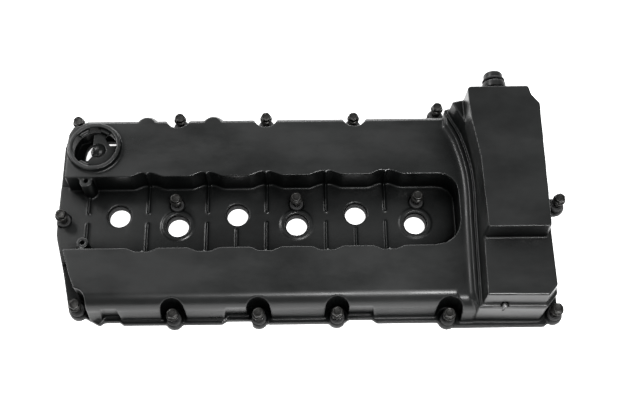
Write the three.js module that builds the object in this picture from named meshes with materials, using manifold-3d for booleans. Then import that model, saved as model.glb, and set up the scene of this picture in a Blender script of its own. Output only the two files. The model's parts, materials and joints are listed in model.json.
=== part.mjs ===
// Cylinder head cover of a narrow-angle six-cylinder engine, in millimetres, +Z up.
// X runs along the cylinder bank, Y across it. The design origin is midway between coil wells
// three and four, at the height of the gasket crest. The finished group is moved so that its
// origin is the middle of the underside of its bounding box.

import * as THREE from 'three';
import { mergeVertices } from 'three/addons/utils/BufferGeometryUtils.js';
import Module from 'manifold-3d';

const wasm = await Module();
wasm.setup();

// ---- Driving dimensions --------------------------------------------------------------------

const GAP = 0.3; // clearance between touching pieces
const WALL = 2.8; // moulded wall of the cover
const PAST = 1; // how far a cutting tool runs past a face

// Heights above the gasket crest
const FLANGE_UNDER_Z = 1;
const FLANGE_TOP_Z = 8;
const VALLEY_FLOOR_Z = 12;
const FLOOR_THICK = 3;
const TOP_Z = 44;
const WELD_Z = TOP_Z + 5; // top of the raised wall that carries the separator

// Valley and coil wells
const CYLINDER_PITCH = 65;
const WELL_COUNT = 6;
const END_X = (WELL_COUNT / 2) * CYLINDER_PITCH; // half the length of the bank
const WELL_STAGGER = 6.2; // each row's distance from the line between the rows
const WELL_LINE_Y = 1.3;
const WELL_BORE_R = 13.2;
const WELL_WALL_R = WELL_BORE_R + 6.8;
const WELL_RIM_R = WELL_BORE_R + 4.3; // low raised ring round every second well
const WELL_RIM_HIGH = 1;
const VALLEY_REAR_Y = 39.7;
const VALLEY_FRONT_Y = -43.2;
const VALLEY_END_X = END_X + 12;
const VALLEY_REAR_CORNER_R = 20;
const VALLEY_FRONT_CORNER_R = 28;
const SCALLOP_DEEP = 4.6;
const SCALLOP_CREST = 12.8;
const SCALLOP_SLOPE = 10.8;
const SCALLOP_R = 9;
const RIB_THICK = 2;
const RIB_HIGH = 2.4; // above the floor
const RIB_REACH = 2.2; // out of the valley wall
const RIB_REAR_END = 10; // inner ends of the floor ribs
const RIB_FRONT_END = -2;

// Gallery walls
const LEFT_X = -END_X - 24.5;
const REAR_Y = 111;
const FRONT_Y = -111;
const FRONT_LEAN = 3; // the front wall leans in by this much below its rounding
const FRONT_ROUND_Y = 15;
const FRONT_ROUND_Z = 18;
const REAR_ROUND = 6;
const BAND_END_X = END_X + 21; // where the galleries run into the separator wall
const FRONT_STEP_X = END_X + 4; // the front wall steps forward to the right of this
const FRONT_STEP = 6;
const STEP_FROM_X = END_X - 13; // the flange steps forward here

// Flange
const FLANGE_OUT = 5.5; // flange edge beyond the front wall
const FLANGE_LEFT_X = LEFT_X - 11;
const FLANGE_REAR_Y = 119;
const FLANGE_RIGHT_X = END_X + 113;
const FLANGE_BASE_REAR_Y = 126;
const NOTCH_DEEP = 4.2;
const NOTCH_SLOPE = 7;
const NOTCHES = [
  [24 - END_X, 40 - END_X],
  [-0.5 * CYLINDER_PITCH - 9.5, -0.5 * CYLINDER_PITCH + 15.5],
  [1.5 * CYLINDER_PITCH - 10.5, 1.5 * CYLINDER_PITCH + 13.5],
]; // from and to along X

// Perimeter gasket
const GASKET_WIDE = 3.6;
const GASKET_HIGH = 4;
const GASKET_REAR_Y = 106;
const GASKET_FRONT_Y = -99;
const LAND_INSIDE = 1.5; // flange land inside the gasket

// Gasket of the coil wells: rings with a lip in each well, joined by straps
const PLUG_RING_R = WELL_BORE_R + 3.8;
const PLUG_LIP_R = WELL_BORE_R - 1.7;
const PLUG_STRAP_WIDE = 5;

// Captive bolts, bushes and bosses
const BOLT_R = 3;
const BOLT_SHOULDER_R = 3.8;
const BOLT_UNDER_HEAD = 25; // length under the head; the tip stands on the gasket plane at rest
const BOLT_TRAVEL = 11.5; // from rest down to the head seated on its bush
const WASHER_R = 6.8;
const WASHER_THICK = 1.6;
const HEX_ACROSS = 10;
const HEX_HIGH = 5.4;
const BUSH_TOP_Z = BOLT_UNDER_HEAD - BOLT_TRAVEL;
const BUSH_BORE_R = 4.3;
const BUSH_NECK_R = 6;
const BUSH_RIM_R = BUSH_NECK_R + 1.6;
const BUSH_RIM_HIGH = 3;
const BOSS_TOP_Z = BUSH_TOP_Z - BUSH_RIM_HIGH - GAP;
const BOSS_R = BUSH_NECK_R + 2.6;
const POCKET_R = 13;
const RECESS_R = BUSH_RIM_R + 0.6;

const VALLEY_BOLT_Y = WELL_LINE_Y - WELL_STAGGER + PLUG_RING_R + BUSH_NECK_R + 1.4;

// Bolt places. A bolt outside the walls stands in a round pocket, given by its offset from the
// bolt; one in the valley floor has a round recess; one clear of the flange hangs on a neck.
const BOLTS = [
  { name: 'rear_1', x: -END_X - 18, y: 117.5, pocket: [1.5, -1.5] },
  { name: 'rear_2', x: -1.5 * CYLINDER_PITCH - 1, y: 120, pocket: [0, -7] },
  { name: 'rear_3', x: -1, y: 120, pocket: [0, -7] },
  { name: 'rear_4', x: 1.5 * CYLINDER_PITCH + 0.5, y: 119, pocket: [0, -6] },
  { name: 'rear_5', x: END_X - 1, y: 130.5, neck: [0, -22.5] },
  { name: 'rear_6', x: END_X + 109, y: 117 },
  { name: 'front_1', x: -END_X - 4, y: -100, pocket: [0, 0] },
  { name: 'front_2', x: -1.5 * CYLINDER_PITCH + 0.5, y: -111.5, pocket: [0, 0] },
  { name: 'front_3', x: -8, y: -111.5, pocket: [0, 0] },
  { name: 'front_4', x: CYLINDER_PITCH + 9, y: -111.5, pocket: [0, 0] },
  { name: 'front_5', x: END_X - 5, y: -114.5, pocket: [0, 1.5] },
  { name: 'front_6', x: END_X + 107.5, y: -111, pocket: [1.5, -1] },
  { name: 'left', x: -END_X - 27.5, y: 2.5, recess: true },
  { name: 'right', x: END_X + 125, y: 14.5, neck: [-30, 0] },
  { name: 'valley_1', x: -1.5 * CYLINDER_PITCH - 1.5, y: VALLEY_BOLT_Y, recess: true },
  { name: 'valley_2', x: 0.5 * CYLINDER_PITCH, y: VALLEY_BOLT_Y, recess: true },
  { name: 'valley_3', x: 2.5 * CYLINDER_PITCH + 2.5, y: VALLEY_BOLT_Y + 0.5, recess: true },
];
const CORNER_FROM_X = END_X + 5; // pockets beyond this open to the corner, not straight out

// Rear wall bulges beside the camshaft bearings
const BULGES_X = [-2 * CYLINDER_PITCH - 3, 5.5 - CYLINDER_PITCH];
const BULGE_Y = 104;
const BULGE_R = 14;
const BULGE_TOP_R = 9.5;

// Screw bosses at the open end of the valley: x, y, radius
const SCREW_BOSSES = [[-END_X - 0.5, 36.5, 7.2], [1.5 - END_X, -36, 6.4]];
const SCREW_BOSS_TOP_Z = TOP_Z - 2;
const SCREW_HOLE_R = 2.3;
const SCREW_HOLE_DEEP = 18;

// Oil filler
const FILLER_X = 7 - END_X;
const FILLER_Y = 75;
const FILLER_BORE_R = 24;
const FILLER_RING_R = FILLER_BORE_R + 4.8;
const FILLER_RING_Z = TOP_Z + 6;
const FILLER_NECK_R = FILLER_BORE_R + 2.5;
const FILLER_NECK_Z = TOP_Z - 8;
const FILLER_LUG_IN = 4;
const FILLER_LUG_HIGH = 3;
const FILLER_LUG_TURN = Math.PI / 6;
const FILLER_LUGS = [0.85, 1.94, 3.95]; // where each lug starts, in radians from +X
const GUARD_TOP_Z = TOP_Z - 3;
const GUARD_THICK = 2;
const DISH_R = 9;
const DISH_DEEP = 4.5;

// Oil separator
const LEDGE_THICK = 3;
const LEDGE_WIDE = 3.2; // ledge outside the box wall
const BOX_WALL = 2.6;
const BOX_LOW_Z = WELD_Z + 26.5;
const BOX_HIGH_Z = BOX_LOW_Z + 24.5;
const BOX_REAR_Y = 115.5;
const BOX_DRAFT = 1.6; // how far the side walls lean in from the ledge to each top
const LEDGE_TOP_Z = WELD_Z + GAP + LEDGE_THICK;
const SCREW_X = END_X + 48;
const SCREW_Y = -114.4;
const SCREW_R = 1.5;
const SCREW_HEAD_R = 2.7;
const SCREW_DEEP = 9;
const SWEEP_R = 9; // concave sweep from the cover's top face up to the separator wall

// Hose connector
const NOZZLE_X = END_X + 54;
const NOZZLE_Z = BOX_HIGH_Z - 18;
const NOZZLE_BORE_R = 8.3;
const NOZZLE_NECK_R = 11;
const NOZZLE_COLLAR_R = 13;
const NOZZLE_MOUTH_R = 10.5;
const NOZZLE_SPIGOT_R = 9.8;
const NOZZLE_LONG = 22.8;
const O_RING_R = 1.3;

// Pressure regulator inside the box
const REG_X = END_X + 59;
const REG_Y = 56;
const REG_OUTER_R = 26.5;
const REG_INNER_R = 24.2;
const REG_FLOOR_Z = BOX_HIGH_Z - 34;
const REG_SPLIT_Z = BOX_HIGH_Z - 15;
const SEAT_TOP_Z = REG_FLOOR_Z + 10.5;
const SEAT_R = 8.5;
const SEAT_BORE_R = 6;
const PLATE_REST_Z = REG_FLOOR_Z + 15;
const PLATE_THICK = 2;
const PLATE_R = 13;
const DIAPHRAGM_R = REG_INNER_R - 0.7;
const SPRING_R = 11;
const SPRING_WIRE_R = 0.7;
const SPRING_TURNS = 4;

// Separator tray and baffle
const TRAY_THICK = 2.5;
const TRAY_TOP_Z = WELD_Z - 3;
const DRAIN = { x: END_X + 75, y: 10 };
const DRAIN_R = 4;
const BAFFLE_THICK = 2;
const BAFFLE_FINS = 4;

// ---- Materials -----------------------------------------------------------------------------

const FINISH = {
  shell: { color: 0x2c2d2e, roughness: 0.5, metalness: 0 },
  box: { color: 0x303132, roughness: 0.46, metalness: 0 },
  inner: { color: 0x343536, roughness: 0.6, metalness: 0 },
  rubber: { color: 0x18191a, roughness: 0.85, metalness: 0 },
  bush: { color: 0x1c1d1e, roughness: 0.8, metalness: 0 },
  bolt: { color: 0x3a3a39, roughness: 0.42, metalness: 0.9 },
  spring: { color: 0x8d9092, roughness: 0.35, metalness: 1 },
};

// ---- Geometry helpers ----------------------------------------------------------------------

const v2 = (x, y) => new THREE.Vector2(x, y);

function solid(geometry) {
  const bare = geometry.index ? geometry.toNonIndexed() : geometry.clone();
  bare.deleteAttribute('normal');
  bare.deleteAttribute('uv');
  const merged = mergeVertices(bare, 1e-4);
  return new wasm.Manifold(new wasm.Mesh({
    numProp: 3,
    vertProperties: new Float32Array(merged.attributes.position.array),
    triVerts: new Uint32Array(merged.index.array),
  }));
}

function geometryOf(manifold) {
  const { vertProperties, triVerts } = manifold.getMesh();
  const geometry = new THREE.BufferGeometry();
  geometry.setAttribute('position', new THREE.BufferAttribute(vertProperties, 3));
  geometry.setIndex(new THREE.BufferAttribute(new Uint32Array(triVerts), 1));
  geometry.computeVertexNormals();
  return geometry;
}

const join = (pieces) => pieces.reduce((sum, piece) => sum.add(piece));
const cut = (body, tools) => tools.reduce((rest, tool) => rest.subtract(tool), body);

// Corner list [x, y, radius] to a point outline, counter-clockwise if the corners are.
function rounded(corners, arcStep = Math.PI / 8) {
  const points = [];
  corners.forEach(([x, y, radius = 0], i) => {
    const [px, py] = corners[(i + corners.length - 1) % corners.length];
    const [nx, ny] = corners[(i + 1) % corners.length];
    const here = v2(x, y);
    if (radius === 0) {
      points.push(here);
      return;
    }
    const back = v2(px - x, py - y).normalize();
    const ahead = v2(nx - x, ny - y).normalize();
    const half = Math.acos(THREE.MathUtils.clamp(back.dot(ahead), -1, 1)) / 2;
    const middle = back.clone().add(ahead).normalize();
    const centre = here.clone().addScaledVector(middle, radius / Math.sin(half));
    const start = here.clone().addScaledVector(back, radius / Math.tan(half)).sub(centre);
    const sweep = Math.PI - 2 * half;
    const turn = Math.sign(back.cross(ahead)) * -sweep;
    const steps = Math.max(1, Math.ceil(sweep / arcStep));
    for (let k = 0; k <= steps; k += 1) {
      points.push(start.clone().rotateAround(v2(0, 0), (turn * k) / steps).add(centre));
    }
  });
  return points;
}

// Moves every edge of a counter-clockwise corner list outwards by a distance.
function shifted(corners, distance) {
  return corners.map(([x, y, radius = 0], i) => {
    const [px, py] = corners[(i + corners.length - 1) % corners.length];
    const [nx, ny] = corners[(i + 1) % corners.length];
    const before = v2(x - px, y - py).normalize();
    const after = v2(nx - x, ny - y).normalize();
    const mean = v2(before.y + after.y, -before.x - after.x).normalize();
    const reach = distance / Math.max(0.4, mean.dot(v2(after.y, -after.x)));
    const bend = Math.sign(before.cross(after));
    const newRadius = radius === 0 ? 0 : Math.max(0.4, radius + bend * distance);
    return [x + mean.x * reach, y + mean.y * reach, newRadius];
  });
}

const outline = (corners, distance = 0) => rounded(shifted(corners, distance));

function prism(points, fromZ, toZ) {
  const geometry = new THREE.ExtrudeGeometry(new THREE.Shape(points), {
    depth: toZ - fromZ, bevelEnabled: false,
  });
  return solid(geometry.translate(0, 0, fromZ));
}

// Joins outlines of equal length, lowest first, into one closed solid.
function loft(rings) {
  const count = rings[0].points.length;
  const positions = rings.flatMap(({ points, z }) => points.flatMap((p) => [p.x, p.y, z]));
  const indices = [];
  for (let level = 0; level < rings.length - 1; level += 1) {
    for (let i = 0; i < count; i += 1) {
      const a = level * count + i;
      const b = level * count + ((i + 1) % count);
      indices.push(a, b, b + count, a, b + count, a + count);
    }
  }
  const last = (rings.length - 1) * count;
  THREE.ShapeUtils.triangulateShape(rings[0].points, []).forEach(([a, b, c]) => {
    indices.push(a, c, b);
  });
  THREE.ShapeUtils.triangulateShape(rings[rings.length - 1].points, []).forEach(([a, b, c]) => {
    indices.push(last + a, last + b, last + c);
  });
  const geometry = new THREE.BufferGeometry();
  geometry.setAttribute('position', new THREE.Float32BufferAttribute(positions, 3));
  geometry.setIndex(indices);
  return solid(geometry);
}

function disc(x, y, radius, fromZ, toZ, sides = 16, topRadius = radius) {
  const geometry = new THREE.CylinderGeometry(topRadius, radius, toZ - fromZ, sides);
  geometry.rotateX(Math.PI / 2).translate(x, y, (fromZ + toZ) / 2);
  return solid(geometry);
}

function block(fromX, toX, fromY, toY, fromZ, toZ) {
  const geometry = new THREE.BoxGeometry(toX - fromX, toY - fromY, toZ - fromZ);
  geometry.translate((fromX + toX) / 2, (fromY + toY) / 2, (fromZ + toZ) / 2);
  return solid(geometry);
}

// Turns a closed radius/height profile round the Z axis, then moves it.
function turned(profile, sides = 20, placed = new THREE.Matrix4()) {
  const points = profile.map(([radius, z]) => v2(radius, z));
  if (points[0].x > 0) {
    points.push(points[0].clone());
  }
  const geometry = new THREE.LatheGeometry(points, sides).rotateX(Math.PI / 2);
  return solid(geometry.applyMatrix4(placed));
}

const movedTo = (x, y, z = 0) => new THREE.Matrix4().makeTranslation(x, y, z);

// ---- Outlines ------------------------------------------------------------------------------

const wells = Array.from({ length: WELL_COUNT }, (_, i) => ({
  x: (i - (WELL_COUNT - 1) / 2) * CYLINDER_PITCH,
  y: WELL_LINE_Y + (i % 2 === 0 ? WELL_STAGGER : -WELL_STAGGER),
  rimmed: i % 2 === 1,
}));

const ribsX = Array.from({ length: WELL_COUNT - 1 }, (_, i) => (
  (i + 1 - WELL_COUNT / 2) * CYLINDER_PITCH
));

// The valley is open to the left; its side walls swing outwards at each rib.
function valleyCorners() {
  const half = SCALLOP_CREST / 2;
  const foot = half + SCALLOP_SLOPE;
  const openX = FLANGE_LEFT_X - 2 * POCKET_R;
  const scallop = (x, y, out, turn) => [
    [x - turn * foot, y, SCALLOP_R], [x - turn * half, y + out, SCALLOP_R],
    [x + turn * half, y + out, SCALLOP_R], [x + turn * foot, y, SCALLOP_R],
  ];
  return [
    [openX, VALLEY_FRONT_Y],
    ...ribsX.flatMap((x) => scallop(x, VALLEY_FRONT_Y, -SCALLOP_DEEP, 1)),
    [VALLEY_END_X, VALLEY_FRONT_Y, VALLEY_FRONT_CORNER_R],
    [VALLEY_END_X, VALLEY_REAR_Y, VALLEY_REAR_CORNER_R],
    ...[...ribsX].reverse().flatMap((x) => scallop(x, VALLEY_REAR_Y, SCALLOP_DEEP, -1)),
    [openX, VALLEY_REAR_Y],
  ];
}

// The separator end is drawn with X measured from the end of the bank.
const fromBankEnd = (corners) => corners.map(([x, ...rest]) => [x + END_X, ...rest]);

// Outer edge of the weld ledge that carries the separator box.
function ledgeCorners() {
  const sweep = new THREE.SplineCurve([
    v2(8, 99.5), v2(15.5, 84), v2(20.5, 66), v2(23.7, 50),
    v2(25.6, 34), v2(26, 12), v2(24.8, -20), v2(23.7, -60), v2(22.4, -116),
  ]);
  return fromBankEnd([
    ...sweep.getPoints(22).slice(0, -1).map(({ x, y }) => [x, y]),
    [22.4, -116, 1.5], [91, -117, 4], [103, -103, 4], [104, 106, 10], [95, 117.5, 7],
    [17, 117.5, 7], [2, 114, 1.5],
  ]);
}

// Plan of the gallery walls.
function galleryCorners() {
  return [
    [LEFT_X, REAR_Y, 24],
    [LEFT_X + 1, VALLEY_REAR_Y],
    [LEFT_X + 6, VALLEY_FRONT_Y],
    [LEFT_X + 15, -71],
    [LEFT_X + 31.5, FRONT_Y, 6],
    [BAND_END_X, FRONT_Y - FRONT_STEP],
    [BAND_END_X, REAR_Y],
  ];
}

function flangeCorners() {
  const front = FRONT_Y - FLANGE_OUT;
  return [
    [FLANGE_LEFT_X, FLANGE_REAR_Y, 24],
    [FLANGE_LEFT_X, -14, 30],
    [FLANGE_LEFT_X + 11.5, -57, 30],
    [FLANGE_LEFT_X + 22, -104, 5],
    [FLANGE_LEFT_X + 39.5, -107.5, 4],
    [FLANGE_LEFT_X + 53.5, front + 1, 3],
    [STEP_FROM_X, front, 4],
    [STEP_FROM_X + 9, front - FRONT_STEP, 4],
    [FLANGE_RIGHT_X - 15, front - FRONT_STEP, 6],
    [FLANGE_RIGHT_X, -108, 8],
    [FLANGE_RIGHT_X, FLANGE_BASE_REAR_Y, 10],
    [END_X + 9, FLANGE_BASE_REAR_Y, 6],
    [END_X + 3, FLANGE_REAR_Y, 3],
  ];
}

// Middle of the rubber bead: it passes inside every bolt pocket.
function gasketCorners() {
  return [
    [LEFT_X + 9.5, GASKET_REAR_Y, 20],
    [LEFT_X + 9.5, -30, 30],
    [LEFT_X + 36.5, GASKET_FRONT_Y, 14],
    [FLANGE_RIGHT_X - 17, GASKET_FRONT_Y, 12],
    [FLANGE_RIGHT_X - 17, GASKET_REAR_Y, 12],
  ];
}

// ---- Cover shell ---------------------------------------------------------------------------

// Cross-section of the galleries, extruded along X.
function galleryBlock(inset, fromX, toX, frontY, baseZ) {
  const kneeY = frontY + FRONT_LEAN;
  const kneeZ = TOP_Z - FRONT_ROUND_Z;
  const section = new THREE.Shape();
  section.moveTo(REAR_Y - inset, baseZ);
  section.lineTo(REAR_Y - inset, TOP_Z - REAR_ROUND);
  section.absarc(REAR_Y - REAR_ROUND, TOP_Z - REAR_ROUND, REAR_ROUND - inset, 0, Math.PI / 2);
  section.absellipse(
    kneeY + FRONT_ROUND_Y, kneeZ, FRONT_ROUND_Y - inset, FRONT_ROUND_Z - inset,
    Math.PI / 2, Math.PI,
  );
  section.lineTo(frontY + inset, FLANGE_TOP_Z);
  section.lineTo(frontY + inset, baseZ);
  const geometry = new THREE.ExtrudeGeometry(section, {
    depth: toX - fromX, bevelEnabled: false, curveSegments: inset > 0 ? 2 : 6,
  });
  const alongX = new THREE.Matrix4().makeBasis(
    new THREE.Vector3(0, 1, 0), new THREE.Vector3(0, 0, 1), new THREE.Vector3(1, 0, 0),
  );
  return solid(geometry.applyMatrix4(alongX).translate(fromX, 0, 0));
}

function galleries(inset, baseZ) {
  const main = galleryBlock(inset, LEFT_X - PAST, FRONT_STEP_X - inset, FRONT_Y, baseZ);
  const stepped = galleryBlock(
    inset, FRONT_STEP_X - inset - PAST, BAND_END_X, FRONT_Y - FRONT_STEP, baseZ,
  );
  const plan = outline(galleryCorners(), -inset);
  return main.add(stepped).intersect(prism(plan, baseZ, TOP_Z + PAST));
}

// The raised wall under the separator, with its concave sweep up from the top face.
function separatorWall() {
  const edge = outline(ledgeCorners());
  const swept = (out) => outline(ledgeCorners(), out).map((grown, i) => {
    const { x, y } = edge[i];
    const share = THREE.MathUtils.smoothstep(-x, -END_X - 45, -END_X - 27)
      * THREE.MathUtils.smoothstep(-y, -113, -100)
      * THREE.MathUtils.smoothstep(y, -117, -96);
    return edge[i].clone().lerp(grown, share);
  });
  const levels = [0, 0.06, 0.25, 0.5].map((rise) => {
    const out = SWEEP_R * (1 - Math.sqrt(1 - (1 - rise) ** 2)) + 2;
    return { z: TOP_Z + rise * SWEEP_R, out };
  });
  return loft([
    { points: swept(SWEEP_R + 2), z: FLANGE_UNDER_Z },
    ...levels.map(({ z, out }) => ({ points: swept(out), z })),
    { points: outline(ledgeCorners(), -0.4), z: WELD_Z },
  ]);
}

function notchTool(fromX, toX, grow) {
  const inner = FRONT_Y + NOTCH_DEEP + grow;
  const outer = FRONT_Y - FLANGE_OUT - 2 * NOTCH_SLOPE;
  return prism([
    v2(fromX - 2 * NOTCH_SLOPE - grow, outer), v2(toX + 2 * NOTCH_SLOPE + grow, outer),
    v2(toX + grow, inner), v2(fromX - grow, inner),
  ], FLANGE_UNDER_Z - PAST, TOP_Z + PAST);
}

function flangeNotchTool(fromX, toX) {
  const inner = FRONT_Y - FLANGE_OUT + NOTCH_DEEP;
  const outer = FRONT_Y - FLANGE_OUT - PAST;
  return prism([
    v2(fromX - NOTCH_SLOPE, outer), v2(toX + NOTCH_SLOPE, outer),
    v2(toX, inner), v2(fromX, inner),
  ], FLANGE_UNDER_Z - PAST, FLANGE_TOP_Z + PAST);
}

function pockets(grow, baseZ) {
  return BOLTS.filter((bolt) => bolt.pocket).map(({ x, y, pocket: [offX, offY] }) => {
    const [cx, cy] = [x + offX, y + offY];
    const outward = v2(Math.abs(x) > CORNER_FROM_X ? Math.sign(x) : 0, Math.sign(y)).normalize();
    const side = v2(-outward.y, outward.x).multiplyScalar(POCKET_R + grow);
    const far = v2(cx, cy).addScaledVector(outward, 3 * POCKET_R);
    const throat = [
      v2(cx, cy).sub(side), v2(cx, cy).add(side), far.clone().add(side), far.clone().sub(side),
    ];
    const ordered = THREE.ShapeUtils.isClockWise(throat) ? throat.reverse() : throat;
    return disc(cx, cy, POCKET_R + grow, baseZ, TOP_Z + PAST, grow ? 12 : 24)
      .add(prism(ordered, baseZ, TOP_Z + PAST));
  });
}

function bulge(x) {
  return disc(x, BULGE_Y, BULGE_R, FLANGE_UNDER_Z, TOP_Z - 7)
    .add(disc(x, BULGE_Y, BULGE_R, TOP_Z - 7, TOP_Z, 16, BULGE_TOP_R));
}

// Straight strip of flange from a bolt's lobe back to the cover.
function flangeNeck({ x, y, neck: [reachX, reachY] }) {
  const half = BOSS_R + 1;
  const [halfX, halfY] = reachX === 0 ? [half, 0] : [0, half];
  return block(
    Math.min(x, x + reachX) - halfX, Math.max(x, x + reachX) + halfX,
    Math.min(y, y + reachY) - halfY, Math.max(y, y + reachY) + halfY,
    FLANGE_UNDER_Z, FLANGE_TOP_Z,
  );
}

function flangePlate() {
  const plate = prism(outline(flangeCorners()), FLANGE_UNDER_Z, FLANGE_TOP_Z);
  const lobes = BOLTS.map(({ x, y }) => disc(x, y, BOSS_R + 1, FLANGE_UNDER_Z, FLANGE_TOP_Z));
  const necks = BOLTS.filter((bolt) => bolt.neck).map(flangeNeck);
  return cut(join([plate, ...lobes, ...necks]), NOTCHES.map(([a, b]) => flangeNotchTool(a, b)));
}

function ribs() {
  const low = [VALLEY_FLOOR_Z - 1, VALLEY_FLOOR_Z + RIB_HIGH];
  const wallTop = TOP_Z - 0.6;
  const half = RIB_THICK / 2;
  const rearWall = VALLEY_REAR_Y + SCALLOP_DEEP;
  const frontWall = VALLEY_FRONT_Y - SCALLOP_DEEP;
  const across = ribsX.flatMap((x) => [
    block(x - half, x + half, RIB_REAR_END, rearWall + 1, ...low),
    block(x - half, x + half, frontWall - 1, RIB_FRONT_END, ...low),
    block(x - half, x + half, rearWall - RIB_REACH, rearWall + 1, low[0], wallTop),
    block(x - half, x + half, frontWall - 1, frontWall + RIB_REACH, low[0], wallTop),
  ]);
  const first = [
    block(-END_X - half - 1, half - 1 - END_X, RIB_REAR_END, VALLEY_REAR_Y, ...low),
    block(-END_X - half - 1, half - 1 - END_X, VALLEY_FRONT_Y, RIB_FRONT_END, ...low),
  ];
  const short = wells.filter((well, i) => i % 2 === 0 && i > 0).map(({ x, y }) => (
    block(x - half, x + half, VALLEY_FRONT_Y - 1, y - WELL_BORE_R - 4, ...low)
  ));
  return [...across, ...first, ...short];
}

function fillerLug(angle) {
  const inner = FILLER_BORE_R - FILLER_LUG_IN;
  const shape = new THREE.Shape();
  shape.absarc(0, 0, FILLER_BORE_R + 1, angle, angle + FILLER_LUG_TURN);
  shape.absarc(0, 0, inner, angle + FILLER_LUG_TURN, angle, true);
  const geometry = new THREE.ExtrudeGeometry(shape, {
    depth: FILLER_LUG_HIGH, bevelEnabled: false, curveSegments: 6,
  });
  return solid(geometry.translate(FILLER_X, FILLER_Y, TOP_Z - 1));
}

function coverShell() {
  const valley = valleyCorners();
  const recessed = BOLTS.filter((bolt) => bolt.recess);
  const openEnd = block(
    FLANGE_LEFT_X, -END_X - 5, VALLEY_FRONT_Y - 4, VALLEY_REAR_Y + 4, FLANGE_UNDER_Z, VALLEY_FLOOR_Z,
  );
  const recessWalls = recessed.map(({ x, y }) => (
    disc(x, y, RECESS_R + WALL, FLANGE_UNDER_Z, VALLEY_FLOOR_Z, 24)
  ));
  const floorEdge = prism(outline(flangeCorners(), -0.6), FLANGE_UNDER_Z, VALLEY_FLOOR_Z);

  const outside = cut(
    join([galleries(0, FLANGE_UNDER_Z), separatorWall(), ...BULGES_X.map(bulge)]),
    [
      prism(outline(valley), VALLEY_FLOOR_Z, WELD_Z + PAST),
      ...pockets(0, FLANGE_TOP_Z),
      ...NOTCHES.map(([a, b]) => notchTool(a, b, 0)),
    ],
  );

  const low = FLANGE_UNDER_Z - PAST;
  const chamber = prism(
    outline(ledgeCorners(), -LEDGE_WIDE - BOX_WALL), low, WELD_Z + PAST,
  );
  const underFloor = prism(
    outline(valley.map(([x, y]) => [x, y]), WALL), VALLEY_FLOOR_Z - FLOOR_THICK, WELD_Z + PAST,
  );
  const passage = galleryBlock(
    WALL, BAND_END_X - 2 * WALL, BAND_END_X + 4 * WALL, FRONT_Y - FRONT_STEP, low,
  );
  const cavity = cut(join([galleries(WALL, low), passage, chamber]), [
    underFloor,
    ...pockets(WALL, low),
    ...NOTCHES.map(([a, b]) => notchTool(a, b, WALL)),
  ]);

  const gasketLine = gasketCorners();
  const land = cut(
    prism(outline(gasketLine, 16), FLANGE_UNDER_Z, FLANGE_TOP_Z)
      .intersect(prism(outline(flangeCorners()), FLANGE_UNDER_Z, FLANGE_TOP_Z)),
    [
      prism(outline(gasketLine, -GASKET_WIDE / 2 - LAND_INSIDE), low, FLANGE_TOP_Z + PAST),
      ...NOTCHES.map(([a, b]) => flangeNotchTool(a, b)),
    ],
  );
  const grooveHalf = GASKET_WIDE / 2 + GAP;
  const groove = prism(outline(gasketLine, grooveHalf), low, GASKET_HIGH + GAP)
    .subtract(prism(outline(gasketLine, -grooveHalf), low, GASKET_HIGH + GAP));

  const body = join([
    cut(join([outside, flangePlate(), openEnd.intersect(floorEdge)]), [cavity]),
    land,
    ...wells.map(({ x, y }) => disc(x, y, WELL_WALL_R, FLANGE_UNDER_Z, VALLEY_FLOOR_Z)),
    ...wells.filter((well) => well.rimmed).map(({ x, y }) => (
      disc(x, y, WELL_RIM_R, VALLEY_FLOOR_Z, VALLEY_FLOOR_Z + WELL_RIM_HIGH, 24)
    )),
    ...recessWalls.map((wall) => wall.intersect(floorEdge)),
    ...SCREW_BOSSES.map(([x, y, r]) => disc(x, y, r, VALLEY_FLOOR_Z - 1, SCREW_BOSS_TOP_Z, 20)),
    ...ribs(),
    disc(FILLER_X, FILLER_Y, FILLER_NECK_R, FILLER_NECK_Z, TOP_Z, 32),
    disc(FILLER_X, FILLER_Y, FILLER_RING_R + 0.6, TOP_Z - 1, FILLER_RING_Z, 32, FILLER_RING_R),
  ]);

  const opened = cut(body, [
    ...recessed.map(({ x, y }) => (
      disc(x, y, RECESS_R, BOSS_TOP_Z - 1, VALLEY_FLOOR_Z + PAST, 24)
    )),
    disc(FILLER_X, FILLER_Y, FILLER_BORE_R, FILLER_NECK_Z - PAST, FILLER_RING_Z + PAST, 32),
    ...wells.map(({ x, y }) => disc(x, y, WELL_BORE_R, low, VALLEY_FLOOR_Z + 3, 24)),
  ]);

  const bosses = BOLTS.map(({ x, y }) => disc(x, y, BOSS_R, FLANGE_TOP_Z - 1, BOSS_TOP_Z));
  const lugs = FILLER_LUGS.map(fillerLug);
  return cut(join([opened, ...bosses, ...lugs]), [
    groove,
    ...wells.map(({ x, y }) => disc(x, y, PLUG_RING_R + GAP, low, GASKET_HIGH + GAP, 20)),
    ...plugStraps(GAP),
    ...BOLTS.map(({ x, y }) => disc(x, y, BUSH_NECK_R + GAP, low, BOSS_TOP_Z + PAST, 12)),
    ...SCREW_BOSSES.map(([x, y]) => disc(
      x, y, SCREW_HOLE_R, SCREW_BOSS_TOP_Z - SCREW_HOLE_DEEP, SCREW_BOSS_TOP_Z + PAST, 12,
    )),
    disc(SCREW_X, SCREW_Y, SCREW_R + GAP, WELD_Z - SCREW_DEEP, WELD_Z + PAST, 12),
  ]);
}

// ---- Gaskets -------------------------------------------------------------------------------

function plugStraps(grow) {
  return wells.slice(1).map(({ x, y }, i) => {
    const from = v2(wells[i].x, wells[i].y);
    const to = v2(x, y);
    const ahead = to.clone().sub(from).normalize();
    const side = v2(-ahead.y, ahead.x).multiplyScalar(PLUG_STRAP_WIDE / 2 + grow);
    const start = from.clone().addScaledVector(ahead, PLUG_RING_R - 1);
    const end = to.clone().addScaledVector(ahead, 1 - PLUG_RING_R);
    return prism([
      start.clone().sub(side), end.clone().sub(side), end.clone().add(side), start.clone().add(side),
    ], 1 - grow, GASKET_HIGH + grow);
  });
}

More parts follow.
